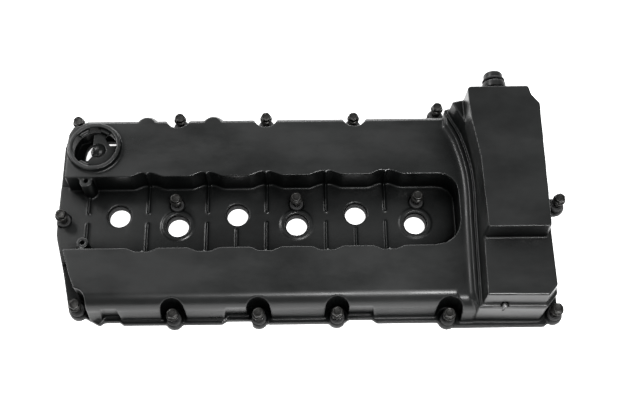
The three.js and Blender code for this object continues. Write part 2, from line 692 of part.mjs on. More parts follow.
function plugWellGasket() {
  const lipTop = 9;
  const neck = WELL_BORE_R - GAP;
  const rings = wells.map(({ x, y }) => turned([
    [PLUG_LIP_R, 1], [PLUG_LIP_R + 1, 0], [PLUG_RING_R, 0], [PLUG_RING_R, GASKET_HIGH], [neck, GASKET_HIGH],
    [neck - 0.4, lipTop], [PLUG_LIP_R, lipTop],
  ], 16, movedTo(x, y)));
  return join([...rings, ...plugStraps(0)]);
}

function perimeterGasket() {
  const at = (out) => outline(gasketCorners(), out);
  const half = GASKET_WIDE / 2;
  return loft([
    { points: at(half - 1), z: 0 },
    { points: at(half), z: 1 },
    { points: at(half), z: GASKET_HIGH },
  ]).subtract(loft([
    { points: at(1 - half), z: -PAST },
    { points: at(1 - half), z: 0 },
    { points: at(-half), z: 1 },
    { points: at(-half), z: GASKET_HIGH + PAST },
  ]));
}

// ---- Bolts and bushes ----------------------------------------------------------------------

function captiveBolt() {
  const hexR = HEX_ACROSS / Math.sqrt(3);
  const washerTop = BOLT_UNDER_HEAD + WASHER_THICK;
  const shank = turned([
    [0, 0], [BOLT_R - 0.8, 0], [BOLT_R, 0.8], [BOLT_R, 9], [BOLT_SHOULDER_R, 10],
    [BOLT_SHOULDER_R, BOLT_UNDER_HEAD], [WASHER_R, BOLT_UNDER_HEAD], [WASHER_R, washerTop],
    [0, washerTop],
  ], 10);
  return shank.add(disc(0, 0, hexR, washerTop - 0.4, washerTop + HEX_HIGH, 6, hexR - 0.2));
}

function bush() {
  const rimUnder = BUSH_TOP_Z - BUSH_RIM_HIGH;
  return turned([
    [BUSH_BORE_R, FLANGE_UNDER_Z + 0.6], [BUSH_NECK_R, FLANGE_UNDER_Z + 0.6],
    [BUSH_NECK_R, rimUnder], [BUSH_RIM_R, rimUnder], [BUSH_RIM_R, BUSH_TOP_Z - 0.8],
    [BUSH_RIM_R - 0.8, BUSH_TOP_Z], [BUSH_BORE_R, BUSH_TOP_Z],
  ], 10);
}

// ---- Oil filler splash guard ---------------------------------------------------------------

function splashGuard() {
  const radius = FILLER_BORE_R - 2 * GAP;
  const under = GUARD_TOP_Z - GUARD_THICK;
  const outlineAt = (corners) => corners.map(([x, y]) => (
    v2(x, y).multiplyScalar(FILLER_BORE_R / 24).add(v2(FILLER_X, FILLER_Y))
  ));
  const plate = disc(FILLER_X, FILLER_Y, radius, under, GUARD_TOP_Z, 32);
  const openSide = prism(outlineAt([
    [-40, -13.5], [-7.5, -13.5], [-3.2, -7.5], [-3.2, 19], [4.5, 21], [4.5, 40], [-40, 40],
  ]), under - PAST, GUARD_TOP_Z + PAST);
  const window = prism(outlineAt([
    [9.5, 14.5], [15.5, 4.5], [24.5, 5], [24.5, 12], [15, 22.5],
  ]), under - PAST, GUARD_TOP_Z + PAST);
  const dishX = FILLER_X + 2.6;
  const dishY = FILLER_Y - 1.2;
  const sphereR = (DISH_R ** 2 + DISH_DEEP ** 2) / (2 * DISH_DEEP);
  const ball = (r) => solid(new THREE.SphereGeometry(r, 20, 14)
    .translate(dishX, dishY, GUARD_TOP_Z - DISH_DEEP + sphereR));
  const bowl = ball(sphereR + GUARD_THICK)
    .intersect(disc(dishX, dishY, DISH_R + GUARD_THICK, 0, GUARD_TOP_Z, 20));
  return cut(plate.add(bowl), [openSide, window, ball(sphereR)]);
}

// ---- Oil separator -------------------------------------------------------------------------

function upperBoxCorners() {
  const frontY = -48;
  return fromBankEnd([
    [21.8, BOX_REAR_Y, 4], [22.2, 80, 60], [28.8, 30, 60], [29.6, frontY, 2],
    [93, frontY, 2], [97, 94, 3], [89, 105, 4], [87, BOX_REAR_Y, 3],
  ]);
}

// The connector's own +Z points out of the box's rear wall.
const NOZZLE_PLACE = movedTo(NOZZLE_X, BOX_REAR_Y + BOX_DRAFT, NOZZLE_Z)
  .multiply(new THREE.Matrix4().makeRotationX(-Math.PI / 2));

function separatorCover() {
  const ledge = (inset) => outline(ledgeCorners(), -inset);
  const upper = (out) => outline(upperBoxCorners(), out);
  const foot = LEDGE_WIDE;
  const lowTop = LEDGE_WIDE + BOX_DRAFT;
  const outside = join([
    prism(ledge(0), WELD_Z + GAP, LEDGE_TOP_Z),
    loft([{ points: ledge(foot), z: LEDGE_TOP_Z - 0.5 }, { points: ledge(lowTop), z: BOX_LOW_Z }]),
    loft([{ points: upper(BOX_DRAFT), z: BOX_LOW_Z - 6 }, { points: upper(0), z: BOX_HIGH_Z }]),
  ]);
  const inside = join([
    loft([
      { points: ledge(foot + BOX_WALL), z: WELD_Z - PAST },
      { points: ledge(lowTop + BOX_WALL), z: BOX_LOW_Z - BOX_WALL },
    ]),
    loft([
      { points: upper(BOX_DRAFT - BOX_WALL), z: BOX_LOW_Z - 8 },
      { points: upper(-BOX_WALL), z: BOX_HIGH_Z - BOX_WALL },
    ]),
  ]);
  const nozzleHole = turned([
    [0, -15], [NOZZLE_SPIGOT_R + GAP, -15], [NOZZLE_SPIGOT_R + GAP, 5], [0, 5],
  ], 20, NOZZLE_PLACE);
  return cut(outside, [
    inside,
    nozzleHole,
    disc(SCREW_X, SCREW_Y, SCREW_R + GAP, WELD_Z, LEDGE_TOP_Z + PAST, 12),
    disc(SCREW_X, SCREW_Y, SCREW_HEAD_R + 0.8, LEDGE_TOP_Z - 0.8, LEDGE_TOP_Z + 5, 16),
  ]);
}

function separatorScrew() {
  const underHead = LEDGE_TOP_Z - 0.8 + GAP;
  return turned([
    [0, WELD_Z - SCREW_DEEP + GAP], [SCREW_R - 0.6, WELD_Z - SCREW_DEEP + GAP],
    [SCREW_R, WELD_Z - SCREW_DEEP + 2], [SCREW_R, underHead], [SCREW_HEAD_R, underHead],
    [SCREW_HEAD_R, underHead + 1.2], [SCREW_HEAD_R - 1, underHead + 2], [0, underHead + 2],
  ], 12, movedTo(SCREW_X, SCREW_Y));
}

function separatorTray() {
  const edge = outline(ledgeCorners(), -LEDGE_WIDE - BOX_WALL - GAP);
  const plate = prism(edge, TRAY_TOP_Z - TRAY_THICK, TRAY_TOP_Z);
  const drain = disc(DRAIN.x, DRAIN.y, DRAIN_R + 2, TRAY_TOP_Z - 14, TRAY_TOP_Z - 1, 20);
  return plate.add(drain)
    .subtract(disc(DRAIN.x, DRAIN.y, DRAIN_R, TRAY_TOP_Z - 14 - PAST, TRAY_TOP_Z + PAST, 20))
    .subtract(block(
      END_X + 40, END_X + 80, -104, -90, TRAY_TOP_Z - TRAY_THICK - PAST, TRAY_TOP_Z + PAST,
    ));
}

// A spine along Y with cross fins that reach to either side in turn.
function labyrinthBaffle() {
  const fromZ = TRAY_TOP_Z + GAP;
  const toZ = BOX_LOW_Z - BOX_WALL - 2 * GAP;
  const fromY = -86;
  const toY = -6;
  const middleX = END_X + 62;
  const spine = block(middleX, middleX + BAFFLE_THICK, fromY, toY, fromZ, toZ);
  const step = (toY - fromY) / (BAFFLE_FINS - 1);
  const fins = Array.from({ length: BAFFLE_FINS }, (_, i) => {
    const y = fromY + i * step;
    const left = END_X + (i % 2 === 0 ? 35 : 45);
    const right = END_X + (i % 2 === 0 ? 79 : 89);
    return block(left, right, y - BAFFLE_THICK / 2, y + BAFFLE_THICK / 2, fromZ, toZ);
  });
  return join([spine, ...fins]);
}

function breatherNozzle() {
  const collarEnd = NOZZLE_LONG - 12.5;
  const lipIn = NOZZLE_LONG - 7;
  return turned([
    [NOZZLE_BORE_R, -7], [NOZZLE_SPIGOT_R, -7], [NOZZLE_SPIGOT_R, GAP],
    [NOZZLE_NECK_R, GAP], [NOZZLE_NECK_R, 2.6], [NOZZLE_COLLAR_R, 3.4],
    [NOZZLE_COLLAR_R, collarEnd], [NOZZLE_MOUTH_R, collarEnd + 0.8],
    [NOZZLE_MOUTH_R - 1, lipIn - 2.8], [NOZZLE_MOUTH_R - 1, lipIn], [NOZZLE_MOUTH_R, lipIn],
    [NOZZLE_MOUTH_R, NOZZLE_LONG - 1], [NOZZLE_MOUTH_R - 1, NOZZLE_LONG],
    [NOZZLE_BORE_R, NOZZLE_LONG],
  ], 20, NOZZLE_PLACE);
}

function nozzleORing() {
  const geometry = new THREE.TorusGeometry(NOZZLE_MOUTH_R + 0.75, O_RING_R - 0.3, 6, 20);
  return solid(geometry.translate(0, 0, NOZZLE_LONG - 8.4).applyMatrix4(NOZZLE_PLACE));
}

// ---- Pressure regulator --------------------------------------------------------------------

const REG_PLACE = movedTo(REG_X, REG_Y);

function regulatorBody() {
  const floorTop = REG_FLOOR_Z + 2;
  const cup = turned([
    [SEAT_BORE_R, REG_FLOOR_Z - 6], [SEAT_R, REG_FLOOR_Z - 6], [SEAT_R, REG_FLOOR_Z],
    [REG_OUTER_R, REG_FLOOR_Z], [REG_OUTER_R, REG_SPLIT_Z], [REG_INNER_R, REG_SPLIT_Z],
    [REG_INNER_R, floorTop], [SEAT_R, floorTop], [SEAT_R, SEAT_TOP_Z], [SEAT_BORE_R, SEAT_TOP_Z],
  ], 20, REG_PLACE);
  const inlets = Array.from({ length: 6 }, (_, i) => {
    const spot = v2(18, 0).rotateAround(v2(0, 0), (i * Math.PI) / 3);
    return disc(REG_X + spot.x, REG_Y + spot.y, 3.5, REG_FLOOR_Z - 1, floorTop + 1, 8);
  });
  return cut(cup, inlets);
}

function regulatorCap() {
  const roof = BOX_HIGH_Z - BOX_WALL - GAP;
  return turned([
    [1.5, roof - 3], [REG_INNER_R, roof - 3], [REG_INNER_R, REG_SPLIT_Z + GAP],
    [REG_OUTER_R, REG_SPLIT_Z + GAP], [REG_OUTER_R, roof], [1.5, roof],
  ], 20, REG_PLACE);
}

function diaphragm() {
  const z = PLATE_REST_Z + PLATE_THICK + GAP;
  return turned([
    [0, z], [PLATE_R, z], [PLATE_R + 2.5, z + 2], [PLATE_R + 6, z + 2], [DIAPHRAGM_R, z],
    [DIAPHRAGM_R, z + 1.4], [PLATE_R + 6.4, z + 3.2], [PLATE_R + 2, z + 3.2],
    [PLATE_R - 0.6, z + 1.2], [0, z + 1.2],
  ], 20, REG_PLACE);
}

function diaphragmPlate() {
  return disc(REG_X, REG_Y, PLATE_R, PLATE_REST_Z, PLATE_REST_Z + PLATE_THICK, 20);
}

const SPRING_FOOT_Z = REG_FLOOR_Z + 2 + GAP;

class Helix extends THREE.Curve {
  getPoint(t, target = new THREE.Vector3()) {
    const low = SPRING_FOOT_Z + SPRING_WIRE_R;
    const high = PLATE_REST_Z - GAP - SPRING_WIRE_R;
    const angle = 2 * Math.PI * SPRING_TURNS * t;
    return target.set(
      SPRING_R * Math.cos(angle), SPRING_R * Math.sin(angle), low + (high - low) * t,
    );
  }
}

function regulatorSpring() {
  const wire = new THREE.Shape(Array.from({ length: 6 }, (_, i) => (
    v2(SPRING_WIRE_R, 0).rotateAround(v2(0, 0), (i * Math.PI) / 3)
  )));
  const geometry = new THREE.ExtrudeGeometry(wire, {
    extrudePath: new Helix(), steps: 12 * SPRING_TURNS,
  });
  return solid(geometry.applyMatrix4(REG_PLACE));
}

// ---- Assembly ------------------------------------------------------------------------------

const cover = new THREE.Group();

function place(name, piece, finish, x = 0, y = 0) {
  const mesh = new THREE.Mesh(geometryOf(piece), new THREE.MeshStandardMaterial(finish));
  mesh.name = name;
  mesh.position.set(x, y, 0);
  cover.add(mesh);
}

place('cover_shell', coverShell(), FINISH.shell);
place('separator_cover', separatorCover(), FINISH.box);
place('separator_tray', separatorTray(), FINISH.inner);
place('labyrinth_baffle', labyrinthBaffle(), FINISH.inner);
place('separator_screw', separatorScrew(), FINISH.bolt);
place('filler_splash_guard', splashGuard(), FINISH.box);
place('perimeter_gasket', perimeterGasket(), FINISH.rubber);
place('plug_well_gasket', plugWellGasket(), FINISH.rubber);

place('breather_nozzle', breatherNozzle(), FINISH.box);
place('nozzle_o_ring', nozzleORing(), FINISH.rubber);

place('regulator_body', regulatorBody(), FINISH.inner);
place('regulator_cap', regulatorCap(), FINISH.inner);
place('regulator_diaphragm', diaphragm(), FINISH.rubber);
place('diaphragm_plate', diaphragmPlate(), FINISH.inner);
place('regulator_spring', regulatorSpring(), FINISH.spring);

for (const { name, x, y } of BOLTS) {
  place(`bolt_${name}`, captiveBolt(), FINISH.bolt, x, y);
  place(`bush_${name}`, bush(), FINISH.bush, x, y);
}

// Move the origin to the middle of the underside of the bounding box.
const box = new THREE.Box3().setFromObject(cover);
const centre = box.getCenter(new THREE.Vector3());
for (const mesh of cover.children) {
  mesh.position.sub(new THREE.Vector3(centre.x, centre.y, box.min.z));
}

export default cover;
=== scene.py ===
import json
import math

import bmesh
import bpy
from mathutils import Matrix, Vector


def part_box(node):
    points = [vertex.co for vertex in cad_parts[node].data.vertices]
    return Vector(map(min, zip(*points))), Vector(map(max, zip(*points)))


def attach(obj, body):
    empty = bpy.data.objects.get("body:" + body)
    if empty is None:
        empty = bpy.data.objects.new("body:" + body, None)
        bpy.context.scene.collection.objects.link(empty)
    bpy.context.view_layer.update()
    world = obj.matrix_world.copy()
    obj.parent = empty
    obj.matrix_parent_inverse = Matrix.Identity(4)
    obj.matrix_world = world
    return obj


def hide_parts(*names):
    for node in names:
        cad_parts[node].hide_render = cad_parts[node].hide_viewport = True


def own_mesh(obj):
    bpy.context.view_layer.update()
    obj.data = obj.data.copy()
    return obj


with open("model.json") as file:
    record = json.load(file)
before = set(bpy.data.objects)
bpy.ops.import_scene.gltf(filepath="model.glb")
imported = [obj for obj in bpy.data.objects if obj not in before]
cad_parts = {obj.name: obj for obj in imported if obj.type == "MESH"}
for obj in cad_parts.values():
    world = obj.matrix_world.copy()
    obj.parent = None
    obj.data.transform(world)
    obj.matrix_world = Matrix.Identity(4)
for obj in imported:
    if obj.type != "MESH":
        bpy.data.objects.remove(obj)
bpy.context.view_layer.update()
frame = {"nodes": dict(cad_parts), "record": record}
nodes = frame["nodes"]

MM = 0.001

# Sizes of the part that the pieces below share, in millimetres of the design frame.
COIL_PITCH = 65
WELL_COUNT = 6
WELL_MIDDLE_Y = 1.3
WELL_STAGGER = 6.2
VALLEY_BOLT_Y = 19.5


# ---- Where the CAD's own design origin lies ------------------------------------------------

def middle(name):
    """The middle of a CAD node's box."""
    low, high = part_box(name)
    return (low + high) / 2


bolt_names = sorted(n for n in nodes if n.startswith("bolt_"))
# The second valley bolt stands half a pitch to the right of the design origin.
origin_x = middle("bolt_valley_2").x - COIL_PITCH * MM / 2
origin_y = middle("bolt_valley_2").y - VALLEY_BOLT_Y * MM


def at(x, y, z=0.0):
    """A point given in millimetres in the design frame, as a place in the shared frame."""
    return Vector((origin_x + x * MM, origin_y + y * MM, z * MM))


# ---- Materials -----------------------------------------------------------------------------

# Painted shade: near walls, in grooves and beside the floor the plastic is darkened towards black
# and its reflection dimmed.
HOLLOW_REACH = 50 * MM  # how far off a wall still darkens a surface
HOLLOW_SAMPLES = 6
PAINTED_SHADE_BLACK = (0.0005, 0.0005, 0.0005)


class Nodes:
    """Small helper for building a material's node tree."""

    def __init__(self, name):
        self.material = bpy.data.materials.new(name)
        self.material.use_nodes = True
        self.tree = self.material.node_tree
        self.shader = self.tree.nodes["Principled BSDF"]
        self.coords = self.tree.nodes.new("ShaderNodeTexCoord").outputs["Object"]

    def link(self, out, socket):
        self.tree.links.new(out, socket)

    def noise(self, scale, detail, roughness, stretch=None):
        node = self.tree.nodes.new("ShaderNodeTexNoise")
        node.inputs["Scale"].default_value = scale
        node.inputs["Detail"].default_value = detail
        node.inputs["Roughness"].default_value = roughness
        source = self.coords
        if stretch:
            mapping = self.tree.nodes.new("ShaderNodeMapping")
            mapping.inputs["Scale"].default_value = stretch
            self.link(self.coords, mapping.inputs["Vector"])
            source = mapping.outputs["Vector"]
        self.link(source, node.inputs["Vector"])
        return node.outputs["Fac"]

    def ramp(self, value, stops):
        node = self.tree.nodes.new("ShaderNodeValToRGB")
        ramp = node.color_ramp
        while len(ramp.elements) < len(stops):
            ramp.elements.new(0.5)
        for element, (place, colour) in zip(ramp.elements, stops):
            element.position = place
            grey = colour if isinstance(colour, tuple) else (colour,) * 3
            element.color = (*grey, 1)
        self.link(value, node.inputs["Fac"])
        return node.outputs["Color"]

    def math(self, operation, a, b):
        node = self.tree.nodes.new("ShaderNodeMath")
        node.operation = operation
        for socket, value in zip(node.inputs, (a, b)):
            if isinstance(value, (int, float)):
                socket.default_value = value
            else:
                self.link(value, socket)
        return node.outputs["Value"]

    def mix(self, factor, a, b):
        node = self.tree.nodes.new("ShaderNodeMix")
        node.data_type = "RGBA"
        for key, value in (("Factor", factor), ("A", a), ("B", b)):
            socket = node.inputs[key]
            if isinstance(value, tuple):
                socket.default_value = (*value, 1)
            elif isinstance(value, (int, float)):
                socket.default_value = value
            else:
                self.link(value, socket)
        return node.outputs["Result"]

    def bump(self, height, strength, distance):
        node = self.tree.nodes.new("ShaderNodeBump")
        node.inputs["Strength"].default_value = strength
        node.inputs["Distance"].default_value = distance
        self.link(height, node.inputs["Height"])
        self.link(node.outputs["Normal"], self.shader.inputs["Normal"])

    def painted_shade_occlusion(self):
        """1 in the open, less in grooves and beside walls and the floor; it drives the painted
        shade in hollows.
        """
        node = self.tree.nodes.new("ShaderNodeAmbientOcclusion")
        node.samples = HOLLOW_SAMPLES
        node.inputs["Distance"].default_value = HOLLOW_REACH
        return node.outputs["AO"]

    def convex_edge_mask(self):
        """1 on convex edges, 0 elsewhere."""
        geometry = self.tree.nodes.new("ShaderNodeNewGeometry")
        return geometry.outputs["Pointiness"]


def brighter(colour, times):
    """A colour made several times brighter, up to white."""
    return tuple(min(1, c * times) for c in colour)


def moulded_plastic(name, dark, light, rough_low, rough_high):
    """Satin black glass-filled nylon: spark-eroded grain, flow marks, painted highlights on convex
    edges and painted shade in hollows.
    """
    m = Nodes(name)
    cloud = m.noise(scale=14, detail=5, roughness=0.65)
    flow = m.noise(scale=20, detail=5, roughness=0.6, stretch=(0.45, 1.0, 1.0))
    grit = m.noise(scale=2300, detail=2, roughness=0.6)
    pits = m.noise(scale=900, detail=2, roughness=0.5)
    base = m.ramp(cloud, [(0.38, dark), (0.64, light)])
    specks = m.ramp(grit, [(0.62, 0.0), (0.78, 1.0)])
    base = m.mix(m.math("MULTIPLY", specks, 0.10), base, brighter(light, 3.2))
    # Painted highlight: the convex edges are made paler.
    edge = m.ramp(m.convex_edge_mask(), [(0.52, 0.0), (0.60, 1.0)])
    base = m.mix(m.math("MULTIPLY", edge, 0.35), base, brighter(light, 2.2))
    # Painted shade: the base colour is darkened towards black in grooves, corners and beside
    # walls.
    painted_shade_ao = m.painted_shade_occlusion()
    base = m.mix(m.ramp(painted_shade_ao, [(0.3, 0.85), (0.92, 0.0)]), base, PAINTED_SHADE_BLACK)
    m.link(base, m.shader.inputs["Base Color"])
    rough = m.ramp(flow, [(0.36, rough_low), (0.64, rough_high)])
    m.link(rough, m.shader.inputs["Roughness"])
    # Painted shade in reflections: the specular level is dimmed in hollows.
    painted_shade_shine = m.ramp(painted_shade_ao, [(0.6, 0.03), (0.88, 0.46)])
    m.link(painted_shade_shine, m.shader.inputs["Specular IOR Level"])
    height = m.math("ADD", m.math("MULTIPLY", grit, 0.5), pits)
    m.bump(height, strength=0.22, distance=0.12 * MM)
    m.shader.inputs["IOR"].default_value = 1.53
    return m.material


def soft_rubber(name, dark, light, rough):
    """Matt black rubber with a film of pale dust."""
    m = Nodes(name)
    dust = m.noise(scale=160, detail=4, roughness=0.65)
    fine = m.noise(scale=1800, detail=2, roughness=0.5)
    m.link(m.ramp(dust, [(0.35, dark), (0.8, light)]), m.shader.inputs["Base Color"])
    sheen = m.ramp(dust, [(0.3, rough - 0.08), (0.8, rough + 0.08)])
    m.link(sheen, m.shader.inputs["Roughness"])
    m.bump(fine, strength=0.3, distance=0.1 * MM)
    return m.material


def coated_steel(name, dark, light, rough, metallic=0.85):
    """Dark zinc-flake coating: mottled grey, slightly sparkling, brighter on corners."""
    m = Nodes(name)
    mottle = m.noise(scale=420, detail=4, roughness=0.65)
    flake = m.noise(scale=3200, detail=2, roughness=0.5)
    base = m.ramp(mottle, [(0.3, dark), (0.75, light)])
    edge = m.ramp(m.convex_edge_mask(), [(0.54, 0.0), (0.64, 1.0)])
    base = m.mix(m.math("MULTIPLY", edge, 0.5), base, brighter(light, 1.9))
    m.link(base, m.shader.inputs["Base Color"])
    sheen = m.ramp(flake, [(0.3, rough - 0.1), (0.75, rough + 0.12)])
    m.link(sheen, m.shader.inputs["Roughness"])
    height = m.math("ADD", flake, m.math("MULTIPLY", mottle, 0.6))
    m.bump(height, strength=0.25, distance=0.08 * MM)
    m.shader.inputs["Metallic"].default_value = metallic
    return m.material


PLASTIC = moulded_plastic(
    "cover_nylon", dark=(0.0030, 0.0035, 0.0035), light=(0.0080, 0.0089, 0.0088),
    rough_low=0.27, rough_high=0.42,
)
BOX_PLASTIC = moulded_plastic(
    "separator_nylon", dark=(0.0034, 0.0039, 0.0039), light=(0.0078, 0.0087, 0.0086),
    rough_low=0.28, rough_high=0.40,
)
INNER_PLASTIC = moulded_plastic(
    "inner_nylon", dark=(0.020, 0.020, 0.021), light=(0.031, 0.031, 0.032),
    rough_low=0.5, rough_high=0.62,
)
RUBBER = soft_rubber(
    "seal_rubber", dark=(0.008, 0.008, 0.0085), light=(0.016, 0.016, 0.016), rough=0.72,
)
BUSH_RUBBER = soft_rubber(
    "bush_rubber", dark=(0.010, 0.010, 0.0105), light=(0.020, 0.020, 0.020), rough=0.66,
)
BOLT_STEEL = coated_steel(
    "bolt_steel", dark=(0.022, 0.022, 0.021), light=(0.050, 0.049, 0.047), rough=0.38,
)
SCREW_STEEL = coated_steel(
    "screw_steel", dark=(0.10, 0.10, 0.10), light=(0.2, 0.2, 0.2), rough=0.36,
)
SPRING_STEEL = coated_steel(
    "spring_steel", dark=(0.42, 0.42, 0.41), light=(0.6, 0.6, 0.58), rough=0.28, metallic=1.0,
)

MATERIALS = {
    "cover_plastic": PLASTIC,
    "separator_plastic": BOX_PLASTIC,
    "inner_plastic": INNER_PLASTIC,
    "seal_rubber": RUBBER,
    "bush_rubber": BUSH_RUBBER,
    "bolt_steel": BOLT_STEEL,
    "zinc_steel": SCREW_STEEL,
    "spring_steel": SPRING_STEEL,
}
slot_of = {s["node"]: s["material_slot"] for s in frame["record"]["subparts"]}
for name, node in nodes.items():
    node.data.materials.clear()
    node.data.materials.append(MATERIALS[slot_of[name]])


# ---- Mesh helpers --------------------------------------------------------------------------

MOST_TRIANGLES = 195000  # in one piece
ROUNDING_STEPS = 3  # along each rounded corner of a turned profile
WELD_DISTANCE = 0.0001 * MM
NEAR_AXIS = 0.01  # the smallest radius of a closed profile, in millimetres


def new_object(name, mesh_or_bmesh):
    """An object in the scene from a mesh, or from a bmesh that it uses up."""
    if isinstance(mesh_or_bmesh, bmesh.types.BMesh):
        mesh = bpy.data.meshes.new(name)
        mesh_or_bmesh.to_mesh(mesh)
        mesh_or_bmesh.free()
    else:
        mesh = mesh_or_bmesh
    obj = bpy.data.objects.new(name, mesh)
    bpy.context.scene.collection.objects.link(obj)
    return obj


def settle(obj):
    """Applies an object's modifiers to its mesh."""
    graph = bpy.context.evaluated_depsgraph_get()
    mesh = bpy.data.meshes.new_from_object(obj.evaluated_get(graph))
    obj.modifiers.clear()
    old = obj.data
    obj.data = mesh
    bpy.data.meshes.remove(old)


def finish_piece(obj, node, material, smooth_angle, body="root"):
    """Shades a piece and puts it in its CAD node's place; an angle of 0 keeps no edge sharp."""
    obj.data.materials.clear()
    obj.data.materials.append(material)
    for polygon in obj.data.polygons:
        polygon.use_smooth = True
    if smooth_angle:
        obj.data.set_sharp_from_angle(angle=math.radians(smooth_angle))
    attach(obj, body)
    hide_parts(node)


def moulded_copy(node, name, material, voxel_mm, passes):
    """A copy of a CAD node with every edge softened as in a mould."""
    obj = new_object(name, nodes[node].data.copy())
    remesh = obj.modifiers.new("remesh", "REMESH")
    remesh.mode = "VOXEL"
    remesh.voxel_size = voxel_mm * MM
    remesh.adaptivity = 0.0
    soften = obj.modifiers.new("soften", "SMOOTH")
    soften.factor = 0.5
    soften.iterations = passes
    settle(obj)
    thin = obj.modifiers.new("thin", "DECIMATE")
    thin.ratio = min(1.0, MOST_TRIANGLES / (2 * len(obj.data.polygons)))
    settle(obj)
    finish_piece(obj, node, material, smooth_angle=0)


def ring_loft(bm, rings, close_ends=False):
    """Joins rings of points into a skin; each ring is a list of Vectors."""
    rows = [[bm.verts.new(p) for p in ring] for ring in rings]
    count = len(rows[0])
    for lower, upper in zip(rows, rows[1:]):
        for i in range(count):
            j = (i + 1) % count
            bm.faces.new((lower[i], lower[j], upper[j], upper[i]))
    if close_ends:
        bm.faces.new(list(reversed(rows[0])))
        bm.faces.new(rows[-1])


def turned_rings(profile, sides, centre, axis="Z", shape=None):
    """Rings for a profile of (radius, height) rows in millimetres, turned round an axis.

    A shape gives the radius at each angle, for pieces that are not round.
    """
    rings = []
    for radius, height in profile:
        ring = []
        for k in range(sides):
            angle = 2 * math.pi * k / sides
            r = shape(angle, radius, height) if shape else radius
            x, y = r * math.cos(angle), r * math.sin(angle)
            local = (x, y, height) if axis == "Z" else (x, height, -y)
            ring.append(Vector(centre) + Vector(local) * MM)
        rings.append(ring)
    return rings


def rounded_profile(corners):
    """Closed profile with its corners rounded: each corner is (radius, height, rounding)."""
    points = []
    count = len(corners)
    for i, (r, z, rounding) in enumerate(corners):
        here = Vector((r, z))
        if not rounding:
            points.append((r, z))
            continue
        back = (Vector(corners[i - 1][:2]) - here).normalized()
        ahead = (Vector(corners[(i + 1) % count][:2]) - here).normalized()
        for k in range(ROUNDING_STEPS + 1):
            t = k / ROUNDING_STEPS
            start = here + back * rounding
            end = here + ahead * rounding
            point = start * (1 - t) ** 2 + here * 2 * t * (1 - t) + end * t ** 2
            points.append((point.x, point.y))
    return points


def upright(node):
    """A node's axis at z = 0, and the heights of its foot and top in millimetres."""
    low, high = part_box(node)
    axis = Vector(((low.x + high.x) / 2, (low.y + high.y) / 2, 0))
    return axis, low.z / MM, high.z / MM


def turned_tube(corners, sides, centre, axis="Z"):
    """A ring-shaped piece: a closed profile away from the axis, turned all the way round."""
    bm = bmesh.new()
    profile = rounded_profile(corners)
    ring_loft(bm, turned_rings(profile + profile[:1], sides, centre, axis))
    bmesh.ops.remove_doubles(bm, verts=bm.verts, dist=WELD_DISTANCE)
    bmesh.ops.recalc_face_normals(bm, faces=bm.faces)
    return bm


# ---- Cover shell and separator box ---------------------------------------------------------

moulded_copy("cover_shell", "cover_shell_moulded", PLASTIC, voxel_mm=1.0, passes=4)
moulded_copy("separator_cover", "separator_cover_moulded", BOX_PLASTIC, voxel_mm=0.9, passes=4)
moulded_copy("filler_splash_guard", "splash_guard_moulded", BOX_PLASTIC, voxel_mm=0.45, passes=3)
moulded_copy("perimeter_gasket", "perimeter_gasket_moulded", RUBBER, voxel_mm=0.8, passes=2)


# ---- Captive bolts -------------------------------------------------------------------------

BOLT_SIDES = 36
BUSH_SIDES = 40
TURN_PER_BOLT = 2.39996  # radians, so that no two heads face the same way
HEX_HALF = 5.0  # half of the head's width across its flats
THREAD_RADIUS = 3.0
THREAD_PITCH = 1.0
THREAD_DEPTH = 0.42
THREAD_FOOT = 0.5
THREAD_STEP = 0.125
THREAD_ROWS = 74
THREAD_START = 0.3
THREAD_END = 9.2
THREAD_FADE = 0.8  # height over which the thread dies out at each end

# Rows of (radius, height) above the bolt's tip.
BOLT_TIP = [(NEAR_AXIS, 0.02), (1.7, 0.02), (2.2, 0.2)]
BOLT_SHANK_AND_FLANGE = [
    (THREAD_RADIUS, 9.8), (3.75, 10.3), (3.8, 10.6), (3.8, 24.2), (4.1, 24.8), (4.6, 25.0),
    (6.3, 25.0), (6.65, 25.1), (6.8, 25.4), (6.8, 25.9), (6.6, 26.2), (6.1, 26.5), (5.75, 26.9),
]
BOLT_HEAD = [
    (5.6, 27.1), (5.9, 27.5), (5.9, 30.9), (5.55, 31.4), (5.15, 31.75), (4.75, 31.92),
    (4.2, 31.97), (3.7, 31.9), (3.35, 31.6), (3.1, 31.3), (2.0, 31.15), (NEAR_AXIS, 31.12),
]

BUSH_BORE_R = 4.3
BUSH_STEM_R = 6.0
BUSH_LIP_R = 7.6


def hexagon(angle, limit, _height):
    """Distance from the axis to a hexagon's side, cut by a circle of radius limit."""
    inside = (angle + math.pi / 6) % (math.pi / 3) - math.pi / 6
    return min(HEX_HALF / math.cos(inside), limit)


def threaded(angle, radius, height):
    """A radius with a single-start thread cut into it."""
    turn = (height / THREAD_PITCH - angle / (2 * math.pi)) % 1.0
    depth = THREAD_DEPTH * (1 - abs(2 * turn - 1))
    rise = max(0.0, (height - THREAD_START) / THREAD_FADE)
    fall = max(0.0, (THREAD_END - height) / THREAD_FADE)
    return radius - depth * min(1.0, rise, fall)


def captive_bolt(node, index):
    """A flanged bolt with a dished hexagon head, each one turned a little further round."""
    low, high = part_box(node)
    centre = Vector(((low.x + high.x) / 2, (low.y + high.y) / 2, low.z))
    spin = Matrix.Rotation(index * TURN_PER_BOLT, 4, "Z")
    turn = Matrix.Translation(centre) @ spin @ Matrix.Translation(-centre)
    thread = [(THREAD_RADIUS, THREAD_FOOT + THREAD_STEP * k) for k in range(THREAD_ROWS)]
    rings = turned_rings(BOLT_TIP, BOLT_SIDES, centre)
    rings += turned_rings(thread, BOLT_SIDES, centre, shape=threaded)
    rings += turned_rings(BOLT_SHANK_AND_FLANGE, BOLT_SIDES, centre)
    rings += turned_rings(BOLT_HEAD, BOLT_SIDES, centre, shape=hexagon)
    bm = bmesh.new()
    ring_loft(bm, rings, close_ends=True)
    bmesh.ops.transform(bm, matrix=turn, verts=bm.verts)
    obj = new_object(node + "_detailed", bm)
    finish_piece(obj, node, BOLT_STEEL, smooth_angle=38, body="captive_" + node)


